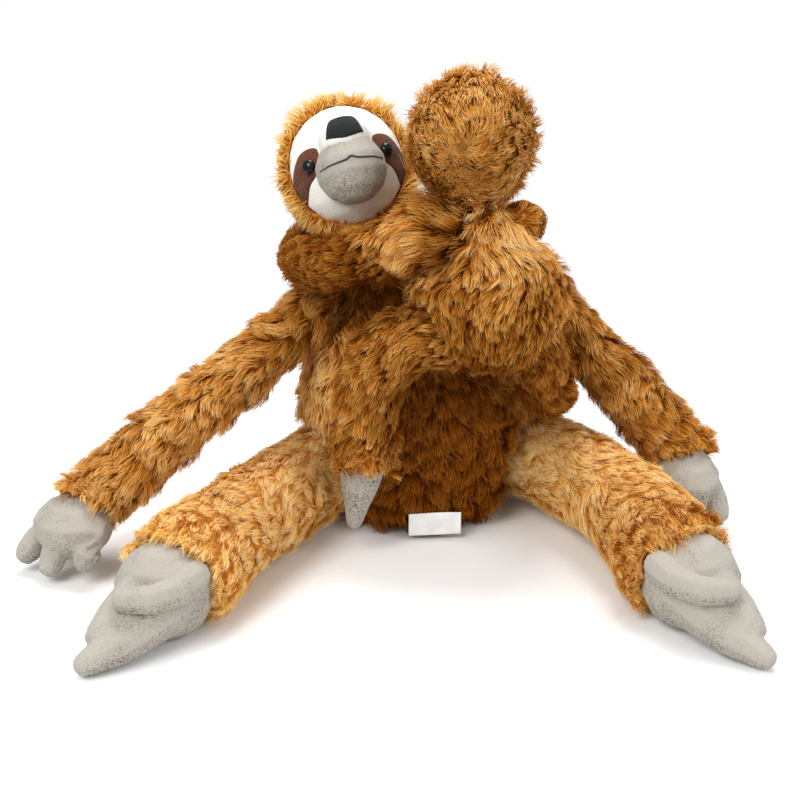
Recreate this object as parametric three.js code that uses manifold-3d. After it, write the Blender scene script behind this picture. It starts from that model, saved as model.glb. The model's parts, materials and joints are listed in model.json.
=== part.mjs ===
// A seated plush sloth with a smaller one clinging to its chest.
// Millimetres, +Z up. The origin is the middle of the mother's flat seat, and she faces -Y.
// Left and right are as seen from her front. Long pile belongs to each furry form, so a
// form's surface lies about halfway up its pile.
import * as THREE from 'three';
import { mergeVertices } from 'three/addons/utils/BufferGeometryUtils.js';
import Module from 'manifold-3d';

const wasm = await Module();
wasm.setup();

const radians = THREE.MathUtils.degToRad;

// Sewing and fitting
const seamGap = 0.35;
const standCut = 0.5;
const feltThickness = 1.0;
const weld = 0.0005;
const socketShare = 0.09;
const stubShare = 0.05;
const wideStubShare = 0.13;
const legStubShare = 0.035;
const cupShare = 0.012;
const sweepStep = radians(18);

// Mother's torso
const torsoWidth = 216;
const torsoDepth = 172;
const neckHeight = 258;
const neckLean = 44;
const neckForward = 6;
const torsoTurn = radians(13);
const torsoSpineShares = [
  [0, 0, 0], [0.1, 0.02, 0.3], [0.22, 0.1, 0.6], [0.42, 0.3, 0.8], [1, 1, 1],
];
const torsoGirthShares = [
  [0, 0], [0.001, 0.5], [0.025, 0.74], [0.07, 0.88], [0.15, 0.97], [0.28, 1], [0.42, 0.98],
  [0.53, 0.93], [0.64, 0.85], [0.73, 0.75], [0.81, 0.63], [0.89, 0.48], [0.96, 0.33], [1, 0],
];

// Mother's arms and legs
const shoulderSpread = 87;
const shoulderHeight = 190;
const armRadius = 27;
const armGirthShares = [1, 0.94, 0.97, 1.02, 1.04];
const leftArmReach = 260;
const leftArmHeading = radians(209);
const leftArmBow = 10;
const leftArmArch = 8;
const leftWristHeight = 49;
const rightArmReach = 198;
const rightArmHeading = radians(-25);
const rightArmBow = 0;
const rightArmArch = 10;
const rightWristHeight = 60;
const hipSpread = 78;
const hipHeight = 46;
const ankleHeight = 42;
const legRadius = 42;
const legGirthShares = [1, 0.98, 0.97, 1.02, 1.04];
const leftLegReach = 231;
const leftLegHeading = radians(242.6);
const leftLegBow = -6;
const rightLegReach = 250;
const rightLegHeading = radians(-64.2);
const rightLegBow = 24;

// Mother's hands and feet, in their own frames: x along the fingers, y to the side, z up
const wristRadius = 21;
const palmLength = 62;
const palmWidth = 72;
const palmThickness = 50;
const fingerRadius = 12.5;
const fingerTaperShare = 0.85;
const handLength = 62;
const palmShare = [0.24, -0.06, -0.16];
const leftHandHeading = radians(228);
const rightHandHeading = radians(-66);
const rightHandTilt = radians(17);
const rightHandSplay = 0.8;
const fingerShares = [
  [[0.2, 0.3, -0.2], [0.48, 0.38, -0.38], [0.66, 0.38, -0.52]],
  [[0.3, -0.04, -0.24], [0.56, -0.08, -0.42], [0.66, -0.12, -0.54]],
  [[0.2, -0.44, -0.14], [0.36, -0.58, -0.28], [0.4, -0.5, -0.44]],
];
const soleRadius = 38;
const ankleRadius = 27;
const footLength = 85;
const soleAdvance = 22;
const soleDrop = 7.5;
const clawRadii = [24, 19, 13.5];
const clawTaperShares = [0.4, 0.52, 0.75];
const leftFootHeading = radians(235);
const rightFootHeading = radians(-60);
const clawShares = [
  [[0.14, -0.16, -0.1], [0.54, -0.12, -0.26], [0.97, 0, -0.37]],
  [[0.16, 0, 0.04], [0.44, 0.06, -0.08], [0.76, 0.06, -0.22]],
  [[0.02, -0.36, 0.14], [0.38, -0.36, 0.1], [0.56, -0.08, 0.07]],
];

// Head, in its own frame: x to the right, -y out of the face, z up the face
const headWidth = 110;
const headDepth = 108;
const headHeight = 120;
const headPlace = [-65, -16, 303];
const headRoll = radians(-10.8);
const headPitch = radians(-27);
const headYaw = radians(9);
const neckPlace = [-42, -7, 250];
const faceWidth = 97;
const faceDepth = 92;
const faceHeight = 102;
const faceBack = 3;
const hoodRim = 14;
const bridgeWidth = 42;
const bridgeDepth = 50;
const bridgeHeight = 42;
const bridgeAdvance = 41;
const bridgeRise = 12.5;
const muzzleWidth = 58;
const muzzleDepth = 60;
const muzzleHeight = 56;
const muzzleAdvance = 42;
const muzzleDrop = 12.5;
const noseWidth = 30;
const noseHeight = 15;
const noseRise = 10.5;
const noseThickness = 2.2;
const mouthWidth = 50;
const mouthDrop = 10.5;
const mouthStitch = 1.7;
const eyeSpread = 31;
const eyeDrop = 1.5;
const eyeRadius = 6;
const eyeDome = 4.2;
const stemRadius = 1.6;
const stemLength = 10;
const stemGap = 0.3;
const washerRadius = 7.5;
const washerThickness = 1.6;
const washerDepth = 3.2;
const patchReach = 46;
const patchShares = [
  [0.47, 0.2], [0.62, 0.3], [0.82, 0.24], [0.98, -0.05], [1.02, -0.5],
  [0.93, -0.98], [0.84, -0.62], [0.73, -0.34], [0.56, -0.17],
];
const noseShares = [
  [-0.44, 0], [0.44, 0], [0.5, 0.1], [0.36, 0.86],
  [0.14, 1], [-0.14, 1], [-0.36, 0.86], [-0.5, 0.1],
];
const mouthShares = [
  [-0.5, -0.02], [-0.28, -0.01], [-0.1, 0], [0, 0.04],
  [0.1, 0], [0.28, -0.01], [0.5, -0.02],
];

// Care label, left bare
const labelWidth = 44;
const labelHeight = 20;
const labelThickness = 1.1;
const labelSide = 8;
const labelLift = 5;

// Baby
const babyShare = 0.86;
const babyTorsoWidth = 129;
const babyTorsoDepth = 118;
const babyTorsoHeight = 132;
const babySeatPlace = [47, -109, 163];
const babyLean = 12;
const babyTurn = radians(-12);
const babyGirthShares = [
  [0, 0], [0.02, 0.32], [0.07, 0.6], [0.15, 0.82], [0.27, 0.96], [0.42, 1], [0.56, 0.96], [0.69, 0.85],
  [0.8, 0.7], [0.9, 0.5], [0.97, 0.34], [1, 0],
];
const babyHeadPlace = [35, -95, 342];
const babyHeadPitch = radians(-8);
const babyHeadYaw = radians(168);
const babyArmRadius = 20;
const babyArmGirthShares = [1, 1, 0.97, 0.9, 0.55];
const babyArmLeftPlaces = [
  [12, -105, 276], [-12, -107, 266], [-40, -101, 254], [-68, -86, 244], [-92, -62, 235], [-104, -30, 232],
  [-100, 4, 235], [-76, 28, 239], [-44, 36, 241],
];
const babyArmRightPlaces = [
  [73, -98, 278], [77, -60, 267], [66, -18, 256], [44, 20, 247], [14, 50, 242], [-24, 60, 241],
];
const babyLegRadius = 27;
const babyLegGirthShares = [1, 1.02, 1, 0.96, 0.92];
const babyFarLegShares = [0.86, 0.78, 0.7, 0.66, 0.64];
const babyLegLeftPlaces = [
  [20, -112, 194], [-14, -119, 190], [-38, -120, 172], [-48, -117, 137], [-50, -112, 92],
];
const babyLegRightPlaces = [
  [82, -110, 190], [97, -90, 150], [105, -56, 120], [109, -14, 107], [104, 28, 108], [98, 58, 109],
];
const babyHandShare = 0.52;
const babyHandDroopShare = 0.25;
const babyHandLeftHeading = radians(8);
const babyHandRightHeading = radians(172);
const babyHandRoll = radians(90);
const babyFootRadius = 18;
const babyFootGirthShares = [1, 1.02, 0.86, 0.6, 0.4];
const babyFootLength = 62;
const babyFarFootShare = 0.8;
const babyFootLeftAim = [-0.14, 0.03, -1];
const babyFootRightAim = [-0.78, 0.62, -0.05];
const claspPlace = [-34, 48, 241];
const padRadius = 8;
const padThickness = 1.4;

// How far each joint turns either way from the photographed pose
const neckRange = [radians(-20), radians(10)];
const leftArmRange = [0, radians(15)];
const rightArmRange = [0, radians(50)];
const leftLegRange = [radians(-4), radians(10)];
const rightLegRange = [radians(-14), 0];
const babyHeadRange = [radians(-20), radians(20)];
const babyArmLeftRange = [0, radians(70)];
const babyArmRightRange = [radians(-70), 0];
const babyLegLeftRange = [radians(-45), 0];
const babyLegRightRange = [radians(-5), 0];

// Facets round each form
const torsoSides = 24;
const babySides = 20;
const headSides = 20;
const muzzleSides = 14;
const legSides = 14;
const armSides = 12;
const pawSides = 10;
const fingerSides = 7;
const clawSides = 8;
const eyeSides = 12;
const patchCorners = 14;
const roomSides = 8;
const socketSides = 12;
const cupSides = 20;

const at = (x, y, z) => new THREE.Vector3(x, y, z);
const point = (place) => new THREE.Vector3(...place);
const upward = at(0, 0, 1);
const none = at(0, 0, 0);

// Solids from closed three.js geometry, and back
function solidOf(geometry) {
  const bare = geometry.clone();
  bare.deleteAttribute('normal');
  bare.deleteAttribute('uv');
  const merged = mergeVertices(bare, weld);
  const corners = merged.index.array;
  const faces = [];
  for (let i = 0; i < corners.length; i += 3) {
    const [a, b, c] = corners.slice(i, i + 3);
    if (a !== b && b !== c && c !== a) faces.push(a, b, c);
  }
  return new wasm.Manifold(new wasm.Mesh({
    numProp: 3,
    vertProperties: new Float32Array(merged.attributes.position.array),
    triVerts: new Uint32Array(faces),
  }));
}

function geometryOf(solid) {
  const mesh = solid.getMesh();
  const geometry = new THREE.BufferGeometry();
  geometry.setAttribute('position', new THREE.BufferAttribute(Float32Array.from(mesh.vertProperties), 3));
  geometry.setIndex(new THREE.BufferAttribute(Uint32Array.from(mesh.triVerts), 1));
  return geometry;
}

const moved = (solid, matrix) => solid.transform(matrix.elements);
const joined = (solids) => solids.reduce((all, next) => all.add(next));
const without = (solid, cutters) => cutters.reduce((rest, cutter) => rest.subtract(cutter), solid);

function ellipsoid(width, depth, height, centre, grow = 0, sides = headSides) {
  const form = new THREE.SphereGeometry(1, sides, Math.round(sides / 2));
  form.rotateX(Math.PI / 2);
  form.scale(width / 2 + grow, depth / 2 + grow, height / 2 + grow);
  form.translate(centre.x, centre.y, centre.z);
  return solidOf(form);
}

const ballAt = (centre, radius, sides) => ellipsoid(2 * radius, 2 * radius, 2 * radius, centre, 0, sides);

// A box between two corners
function block(low, high) {
  const size = high.clone().sub(low);
  const middle = low.clone().add(high).multiplyScalar(1 / 2);
  const box = new THREE.BoxGeometry(size.x, size.y, size.z);
  box.translate(middle.x, middle.y, middle.z);
  return solidOf(box);
}

// A turned solid whose own axis is laid along a direction
function turned(profile, sides, place, direction) {
  const outline = profile.map(([radius, rise]) => new THREE.Vector2(radius, rise));
  const form = new THREE.LatheGeometry(outline, sides);
  form.applyQuaternion(new THREE.Quaternion().setFromUnitVectors(at(0, 1, 0), direction));
  form.translate(place.x, place.y, place.z);
  return solidOf(form);
}

// A closed form of oval rings along a route; the first and last rings are points
function loft(route, rings, sides, across) {
  const positions = [];
  for (const ring of rings) {
    const tangent = route.getTangentAt(ring.share);
    const centre = route.getPointAt(ring.share).addScaledVector(tangent, ring.slide ?? 0);
    const side = across.clone().addScaledVector(tangent, -across.dot(tangent)).normalize();
    const front = tangent.clone().cross(side);
    const count = ring.wide > 0 ? sides : 1;
    for (let i = 0; i < count; i += 1) {
      const angle = (2 * Math.PI * i) / sides;
      const corner = centre.clone();
      corner.addScaledVector(side, ring.wide * Math.cos(angle));
      corner.addScaledVector(front, ring.deep * Math.sin(angle));
      positions.push(corner.x, corner.y, corner.z);
    }
  }
  const faces = [];
  const last = positions.length / 3 - 1;
  for (let i = 0; i < sides; i += 1) {
    const next = (i + 1) % sides;
    faces.push(0, 1 + next, 1 + i);
    faces.push(last, last - sides + i, last - sides + next);
    for (let r = 0; r < rings.length - 3; r += 1) {
      const low = 1 + r * sides;
      faces.push(low + i, low + next, low + sides + next);
      faces.push(low + i, low + sides + next, low + sides + i);
    }
  }
  const geometry = new THREE.BufferGeometry();
  geometry.setAttribute('position', new THREE.Float32BufferAttribute(positions, 3));
  geometry.setIndex(faces);
  return solidOf(geometry);
}

// A size read smoothly from evenly spread shares
function girth(shares, share) {
  const place = share * (shares.length - 1);
  const low = Math.min(Math.floor(place), shares.length - 2);
  const part = place - low;
  const ease = part * part * (3 - 2 * part);
  return shares[low] + (shares[low + 1] - shares[low]) * ease;
}

// A stuffed tube with ball ends, grown and cut short where it is a cutter
function stuffedTube({
  route, radius, shares, sides = armSides, steps = 7, capSteps = 3, grow = 0, until = 1, across = upward,
}) {
  const sizeAt = (share) => radius * girth(shares, share) + grow;
  const rings = [];
  for (let i = 0; i < capSteps; i += 1) {
    const angle = (Math.PI / 2) * (i / capSteps);
    rings.push({ share: 0, slide: -sizeAt(0) * Math.cos(angle), wide: sizeAt(0) * Math.sin(angle) });
  }
  const count = Math.max(2, Math.round(steps * until));
  for (let i = 0; i <= count; i += 1) {
    rings.push({ share: (until * i) / count, wide: sizeAt((until * i) / count) });
  }
  for (let i = capSteps - 1; i >= 0; i -= 1) {
    const angle = (Math.PI / 2) * (i / capSteps);
    const size = sizeAt(until);
    rings.push({ share: until, slide: size * Math.cos(angle), wide: size * Math.sin(angle) });
  }
  for (const ring of rings) ring.deep = ring.wide;
  return loft(route, rings, sides, across);
}

const turnAbout = (pivot, axis, angle) => new THREE.Matrix4().makeTranslation(pivot)
  .multiply(new THREE.Matrix4().makeRotationAxis(axis, angle))
  .multiply(new THREE.Matrix4().makeTranslation(pivot.clone().negate()));

// Everything that a solid passes through as it turns through a range
function swept(solid, pivot, axis, range, steps = Math.ceil((range[1] - range[0]) / sweepStep)) {
  const copies = [];
  for (let i = 0; i <= steps; i += 1) {
    copies.push(moved(solid, turnAbout(pivot, axis, range[0] + ((range[1] - range[0]) * i) / steps)));
  }
  return joined(copies);
}

// Room in a body for the near end of a limb that turns there
function socket(limb) {
  const near = { steps: 2 / limb.near, capSteps: 1, until: limb.near };
  const stub = stuffedTube({ ...limb, ...near, grow: limb.radius * (limb.slack ?? stubShare) });
  const ball = ballAt(limb.pivot, limb.radius * limb.shares[0] * (1 + socketShare), socketSides);
  return swept(stub, limb.pivot, limb.axis, limb.range).add(ball);
}

// Everything below the surface that the toy sits on
const reach = torsoWidth + leftArmReach + leftLegReach;
const floor = block(at(-reach, -reach, -reach), at(reach, reach, 0));

// Mother's limbs: a chord from the joint, bowed sideways and arched upwards
function limbRoute({ start, endHeight, length, heading, bow, arch = 0 }) {
  const drop = start.z - endHeight;
  const run = Math.sqrt(length * length - drop * drop);
  const along = at(Math.cos(heading), Math.sin(heading), 0);
  const aside = at(-Math.sin(heading), Math.cos(heading), 0);
  const bulge = (share) => 4 * share * (1 - share);
  const place = (share) => start.clone()
    .addScaledVector(along, run * share)
    .addScaledVector(aside, bow * bulge(share))
    .addScaledVector(upward, arch * bulge(share) - drop * share);
  return new THREE.CatmullRomCurve3([0, 0.25, 0.5, 0.75, 1].map(place));
}

const torsoSide = at(Math.cos(torsoTurn), Math.sin(torsoTurn), 0);
const jointAt = (spread, height) => torsoSide.clone().multiplyScalar(spread).setZ(height);
const raiseAxis = (heading) => at(Math.sin(heading), -Math.cos(heading), 0);

function limb(settings) {
  return { ...settings, route: limbRoute(settings), pivot: settings.start };
}

const arm = { radius: armRadius, shares: armGirthShares, near: 0.25 };
const leg = { radius: legRadius, shares: legGirthShares, sides: legSides, near: 0.45, slack: legStubShare };
const limbs = {
  arm_left: limb({
    ...arm, start: jointAt(-shoulderSpread, shoulderHeight), endHeight: leftWristHeight,
    length: leftArmReach, heading: leftArmHeading, bow: leftArmBow, arch: leftArmArch,
    axis: raiseAxis(leftArmHeading), range: leftArmRange,
  }),
  arm_right: limb({
    ...arm, start: jointAt(shoulderSpread, shoulderHeight), endHeight: rightWristHeight,
    length: rightArmReach, heading: rightArmHeading, bow: rightArmBow, arch: rightArmArch,
    axis: raiseAxis(rightArmHeading), range: rightArmRange,
  }),
  leg_left: limb({
    ...leg, start: jointAt(-hipSpread, hipHeight), endHeight: ankleHeight, length: leftLegReach,
    heading: leftLegHeading, bow: leftLegBow, axis: upward.clone().negate(), range: leftLegRange,
  }),
  leg_right: limb({
    ...leg, start: jointAt(hipSpread, hipHeight), endHeight: ankleHeight, length: rightLegReach,
    heading: rightLegHeading, bow: rightLegBow, axis: upward, range: rightLegRange,
  }),
};

// Hands and feet
function pawFrame(origin, heading, tilt = 0, roll = 0) {
  return new THREE.Matrix4().makeTranslation(origin)
    .multiply(new THREE.Matrix4().makeRotationZ(heading))
    .multiply(new THREE.Matrix4().makeRotationY(tilt))
    .multiply(new THREE.Matrix4().makeRotationX(roll));
}

function taperedTube(points, radius, taper, sides, grow) {
  const route = new THREE.CatmullRomCurve3(points);
  const shares = [1, (1 + taper) / 2, taper];
  return stuffedTube({ route, radius, shares, sides, steps: 3, capSteps: 2, grow });
}

function handSolid({ frame, mirror, grow = 0, size = 1, droop = 1, splay = 1, sides = pawSides }) {
  const length = handLength * size;
  const scaled = (row) => at(row[0], row[1] * mirror * splay, row[2] * droop).multiplyScalar(length);
  const wrist = ballAt(none, wristRadius * size + grow, sides);
  const palm = ellipsoid(
    palmLength * size, palmWidth * size * splay, palmThickness * size, scaled(palmShare), grow, sides,
  );
  const fingers = fingerShares.map((rows) => taperedTube(
    rows.map(scaled), fingerRadius * size, fingerTaperShare, fingerSides, grow,
  ));
  return moved(joined([wrist, palm, ...fingers]), frame);
}

function footSolid({ frame, mirror, grow = 0 }) {
  const sole = at(soleAdvance, 0, -soleDrop);
  const scaled = (row) => at(row[0], row[1] * mirror, row[2]).multiplyScalar(footLength).setX(
    soleAdvance + row[0] * footLength,
  );
  const ankle = ballAt(none, ankleRadius + grow, pawSides);
  const ball = ballAt(sole, soleRadius + grow, legSides);
  const claws = clawShares.map((rows, i) => taperedTube(
    rows.map(scaled), clawRadii[i], clawTaperShares[i], clawSides, grow,
  ));
  return moved(joined([ankle, ball, ...claws]), frame);
}

const endOf = (name) => limbs[name].route.getPointAt(1);
const paws = {
  arm_left: ['hand_left', (grow) => handSolid({
    frame: pawFrame(endOf('arm_left'), leftHandHeading), mirror: -1, grow,
  })],
  arm_right: ['hand_right', (grow) => handSolid({
    frame: pawFrame(endOf('arm_right'), rightHandHeading, rightHandTilt), mirror: 1,
    splay: rightHandSplay, grow,
  })],
  leg_left: ['foot_left', (grow) => footSolid({
    frame: pawFrame(endOf('leg_left'), leftFootHeading), mirror: -1, grow,
  })],
  leg_right: ['foot_right', (grow) => footSolid({
    frame: pawFrame(endOf('leg_right'), rightFootHeading), mirror: 1, grow,
  })],
};

// Torsos
function torsoSolid(grow = 0) {
  const height = neckHeight + standCut;
  const spine = new THREE.CatmullRomCurve3(torsoSpineShares.map(
    ([lean, forward, rise]) => at(-neckLean * lean, -neckForward * forward, height * rise - standCut),
  ));
  const rings = torsoGirthShares.map(([share, size]) => ({
    share,
    wide: size > 0 ? (torsoWidth / 2) * size + grow : 0,
    deep: (torsoDepth / 2) * size + grow,
  }));
  return loft(spine, rings, torsoSides, torsoSide);
}

function babyTorsoSolid(grow = 0) {
  const seat = point(babySeatPlace);
  const spine = new THREE.LineCurve3(seat, seat.clone().add(at(0, babyLean, babyTorsoHeight)));
  const side = at(Math.cos(babyTurn), Math.sin(babyTurn), 0);
  const rings = babyGirthShares.map(([share, size]) => ({
    share,
    wide: size > 0 ? (babyTorsoWidth / 2) * size + grow : 0,
    deep: (babyTorsoDepth / 2) * size + grow,
  }));
  return loft(spine, rings, babySides, side);
}

// Head: the furry hood, the white face in its opening, and what is sewn or fixed to the face
const crownSolid = (grow = 0, sides = headSides) => ellipsoid(
  headWidth, headDepth, headHeight, none, grow, sides,
);
const muzzleSolid = (grow = 0) => ellipsoid(
  muzzleWidth, muzzleDepth, muzzleHeight, at(0, -muzzleAdvance, -muzzleDrop), grow, muzzleSides,
);

function faceSolid(grow = 0) {
  const cheeks = ellipsoid(faceWidth, faceDepth, faceHeight, none, grow, headSides);
  const behind = block(at(-headWidth, faceBack + grow, -headHeight), at(headWidth, headDepth, headHeight));
  const bridge = ellipsoid(
    bridgeWidth, bridgeDepth, bridgeHeight, at(0, -bridgeAdvance, bridgeRise), grow, muzzleSides,
  );
  return cheeks.subtract(behind).add(bridge);
}

const inFrontOf = (y) => block(
  at(-headWidth, -2 * headDepth, -headHeight), at(headWidth, y, headHeight),
);

// A flat outline in the face's own plane, run forwards through the face
function outlineSolid(outline) {
  const settings = { depth: headDepth, bevelEnabled: false };
  const prism = new THREE.ExtrudeGeometry(new THREE.Shape(outline), settings);
  prism.rotateX(Math.PI / 2);
  return solidOf(prism);
}

function noseSolid() {
  const outline = noseShares.map(([x, z]) => new THREE.Vector2(x * noseWidth, noseRise + z * noseHeight));
  const outer = faceSolid(seamGap + noseThickness).add(muzzleSolid(seamGap + noseThickness));
  const inner = faceSolid(seamGap).add(muzzleSolid(seamGap));
  return outlineSolid(outline).intersect(outer.subtract(inner)).intersect(inFrontOf(-bridgeAdvance));
}

function mouthSolid() {
  const line = mouthShares.map(([x, z]) => new THREE.Vector2(x * mouthWidth, z * mouthWidth - mouthDrop));
  const below = line.map(({ x, y }) => new THREE.Vector2(x, y - mouthStitch)).reverse();
  const outer = muzzleSolid(seamGap + feltThickness);
  const inner = muzzleSolid(seamGap).add(faceSolid(seamGap));
  const stitch = outlineSolid([...line, ...below]).intersect(outer.subtract(inner));
  return stitch.intersect(inFrontOf(-muzzleAdvance));
}

// Safety eyes: the lathe's own zero is the back of the bead
const domeSteps = 3;
const eyeProfile = [[0, -stemLength], [stemRadius, -stemLength], [stemRadius, 0]];
for (let i = 0; i <= domeSteps; i += 1) {
  const angle = (Math.PI / 2) * (i / domeSteps);
  eyeProfile.push([eyeRadius * Math.cos(angle), eyeDome * Math.sin(angle)]);
}
eyeProfile[eyeProfile.length - 1][0] = 0;
const eyeLift = 2 * seamGap + feltThickness;
const washerTop = -eyeLift - washerDepth;
const stemBore = stemRadius + stemGap;
const washerProfile = [
  [washerRadius, washerTop - washerThickness], [washerRadius, washerTop], [stemBore, washerTop],
  [stemBore, washerTop - washerThickness], [washerRadius, washerTop - washerThickness],
];
const roomRadius = washerRadius + stemGap;
const roomTop = washerTop + stemGap;
const roomBottom = washerTop - washerThickness - stemGap;
const eyeRoomProfile = [
  [0, -stemLength - stemGap], [stemBore, -stemLength - stemGap], [stemBore, roomBottom],
  [roomRadius, roomBottom], [roomRadius, roomTop], [stemBore, roomTop], [stemBore, eyeLift], [0, eyeLift],
];

function eyeSeat(mirror) {
  const x = mirror * eyeSpread;
  const z = -eyeDrop;
  const halves = [faceWidth / 2, faceDepth / 2, faceHeight / 2];
  const y = -halves[1] * Math.sqrt(1 - (x / halves[0]) ** 2 - (z / halves[2]) ** 2);
  const normal = at(x / halves[0] ** 2, y / halves[1] ** 2, z / halves[2] ** 2).normalize();
  return { place: at(x, y, z).addScaledVector(normal, eyeLift), normal };
}

function eyePiece(profile, mirror, sides = roomSides) {
  const seat = eyeSeat(mirror);
  return turned(profile, sides, seat.place, seat.normal);
}

function patchSolid(mirror) {
  const corners = patchShares.map(([x, z]) => at(x * mirror * patchReach, z * patchReach, 0));
  const curve = new THREE.CatmullRomCurve3(corners, true);
  const round = curve.getSpacedPoints(patchCorners).slice(0, -1);
  const outline = round.map(({ x, y }) => new THREE.Vector2(x, y));
  const shell = faceSolid(seamGap + feltThickness).subtract(faceSolid(seamGap));
  const patch = outlineSolid(outline).intersect(shell).intersect(inFrontOf(-hoodRim - feltThickness));
  return without(patch, [muzzleSolid(seamGap), eyePiece(eyeRoomProfile, mirror)]);
}

const fur = { color: 0xa66f2c, roughness: 0.95, metalness: 0 };
const greyPlush = { color: 0xb9b0a4, roughness: 0.9, metalness: 0 };
const whitePlush = { color: 0xf2efe8, roughness: 0.9, metalness: 0 };
const brownPlush = { color: 0x6b4026, roughness: 0.9, metalness: 0 };
const blackPlush = { color: 0x111c1c, roughness: 0.75, metalness: 0 };
const blackThread = { color: 0x141312, roughness: 0.7, metalness: 0 };
const blackPlastic = { color: 0x080808, roughness: 0.12, metalness: 0 };
const clearPlastic = { color: 0xe6e6e0, roughness: 0.5, metalness: 0 };
const labelCloth = { color: 0xf4f4f2, roughness: 0.6, metalness: 0 };

function headPieces() {
  const rooms = [eyePiece(eyeRoomProfile, -1), eyePiece(eyeRoomProfile, 1)];
  const hood = without(crownSolid(), [faceSolid(seamGap), inFrontOf(-hoodRim)]);
  const pieces = [
    ['hood', hood, fur],
    ['face', without(faceSolid(), rooms), whitePlush],
    ['muzzle', muzzleSolid().subtract(faceSolid(seamGap)), greyPlush],
    ['nose', noseSolid(), blackPlush],
    ['mouth', mouthSolid(), blackThread],
  ];
  for (const [side, mirror] of [['left', -1], ['right', 1]]) {
    pieces.push([`eye_patch_${side}`, patchSolid(mirror), brownPlush]);
    pieces.push([`eye_${side}`, eyePiece(eyeProfile, mirror, eyeSides), blackPlastic]);
    pieces.push([`eye_washer_${side}`, eyePiece(washerProfile, mirror), clearPlastic]);
  }
  return pieces;
}

function headFrame(place, yaw, roll, pitch, size) {
  return new THREE.Matrix4().makeTranslation(point(place))
    .multiply(new THREE.Matrix4().makeRotationZ(yaw))
    .multiply(new THREE.Matrix4().makeRotationY(roll))
    .multiply(new THREE.Matrix4().makeRotationX(pitch))
    .multiply(new THREE.Matrix4().makeScale(size, size, size));
}

const motherFrame = headFrame(headPlace, headYaw, headRoll, headPitch, 1);
const babyFrame = headFrame(babyHeadPlace, babyHeadYaw, 0, babyHeadPitch, babyShare);
const neckAxis = point(headPlace).sub(point(neckPlace)).normalize();
const cupSolid = crownSolid((headWidth / 2) * cupShare, cupSides);
const neckCup = swept(moved(cupSolid, motherFrame), point(neckPlace), neckAxis, neckRange, 1);
const babyCup = swept(moved(cupSolid, babyFrame), point(babyHeadPlace), upward, babyHeadRange, 1);

// The toy, with a group at each joint
const toy = new THREE.Group();

function jointGroup(pivot, parent = toy) {
  const group = new THREE.Group();
  group.position.copy(pivot);
  parent.add(group);
  return group;
}

function place(name, solid, look, parent = toy) {
  const geometry = geometryOf(solid).translate(-parent.position.x, -parent.position.y, -parent.position.z);
  geometry.computeVertexNormals();
  const mesh = new THREE.Mesh(geometry, new THREE.MeshStandardMaterial(look));
  mesh.name = name;
  parent.add(mesh);
}

// Care label against the lower front of the torso
function labelSolid() {
  const low = at(labelSide - labelWidth / 2, -torsoDepth, labelLift);
  const high = at(labelSide + labelWidth / 2, 0, labelLift + labelHeight);
  const front = torsoSolid(seamGap).intersect(block(low, high)).boundingBox().min[1];
  return block(low.setY(front - labelThickness), high.setY(front));
}

function placeMother() {
  const body = without(torsoSolid(), [...Object.values(limbs).map(socket), neckCup, floor]);
  place('torso', body, fur);
  place('care_label', labelSolid(), labelCloth);
  for (const [name, settings] of Object.entries(limbs)) {
    const [pawName, pawSolid] = paws[name];
    const group = jointGroup(settings.pivot);
    place(name, without(stuffedTube(settings), [pawSolid(seamGap), floor]), fur, group);
    place(pawName, pawSolid(0).subtract(floor), greyPlush, group);
  }
  const head = jointGroup(point(neckPlace));
  for (const [name, solid, look] of headPieces()) place(name, moved(solid, motherFrame), look, head);
}

// Baby's limbs, on routes that hug the mother
const babyLimb = (places, settings) => {
  const route = new THREE.CatmullRomCurve3(places.map(point));
  return { route, pivot: route.getPointAt(0), ...settings };
};
const babyArm = {
  radius: babyArmRadius, shares: babyArmGirthShares, axis: upward, until: 0.95, slack: wideStubShare,
};
const babyLeg = { radius: babyLegRadius, near: 0.27, across: at(0, 1, 0) };
const babyLimbs = {
  baby_arm_left: babyLimb(babyArmLeftPlaces, {
    ...babyArm, range: babyArmLeftRange, steps: 9, near: 0.24,
  }),
  baby_arm_right: babyLimb(babyArmRightPlaces, {
    ...babyArm, range: babyArmRightRange, steps: 8, near: 0.34,
  }),
  baby_leg_left: babyLimb(babyLegLeftPlaces, {
    ...babyLeg, shares: babyLegGirthShares, axis: at(1, 0, 0), range: babyLegLeftRange,
  }),
  baby_leg_right: babyLimb(babyLegRightPlaces, {
    ...babyLeg, shares: babyFarLegShares, axis: upward, range: babyLegRightRange,
  }),
};

function babyFootSolid(origin, aim, size, grow) {
  const direction = point(aim).normalize();
  const length = babyFootLength * size;
  const points = [0, 0.5, 1].map((share) => origin.clone().addScaledVector(direction, length * share));
  const route = new THREE.CatmullRomCurve3(points);
  return stuffedTube({
    route, radius: babyFootRadius * size, shares: babyFootGirthShares, steps: 4, grow,
  });
}

// The baby's hands lie flat to each other behind the mother's neck, with a pad on each
const clasp = point(claspPlace);
const padLift = seamGap / 2 + padThickness + seamGap;
const padSolid = (side) => turned(
  [[0, 0], [padRadius, 0], [padRadius, padThickness], [0, padThickness]], eyeSides,
  clasp.clone().add(at(0, (side * seamGap) / 2, 0)), at(0, side, 0),
);

function babyHandSolid(origin, heading, side, grow) {
  const frame = pawFrame(origin, heading, 0, babyHandRoll);
  const hand = handSolid({
    frame, mirror: 1, grow, size: babyHandShare, droop: babyHandDroopShare, sides: pawSides - 2,
  });
  const seat = clasp.y + side * (padLift - grow);
  const low = at(-reach, side < 0 ? seat : -reach, 0);
  const high = at(reach, side < 0 ? reach : seat, reach);
  return hand.subtract(block(low, high));
}

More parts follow.
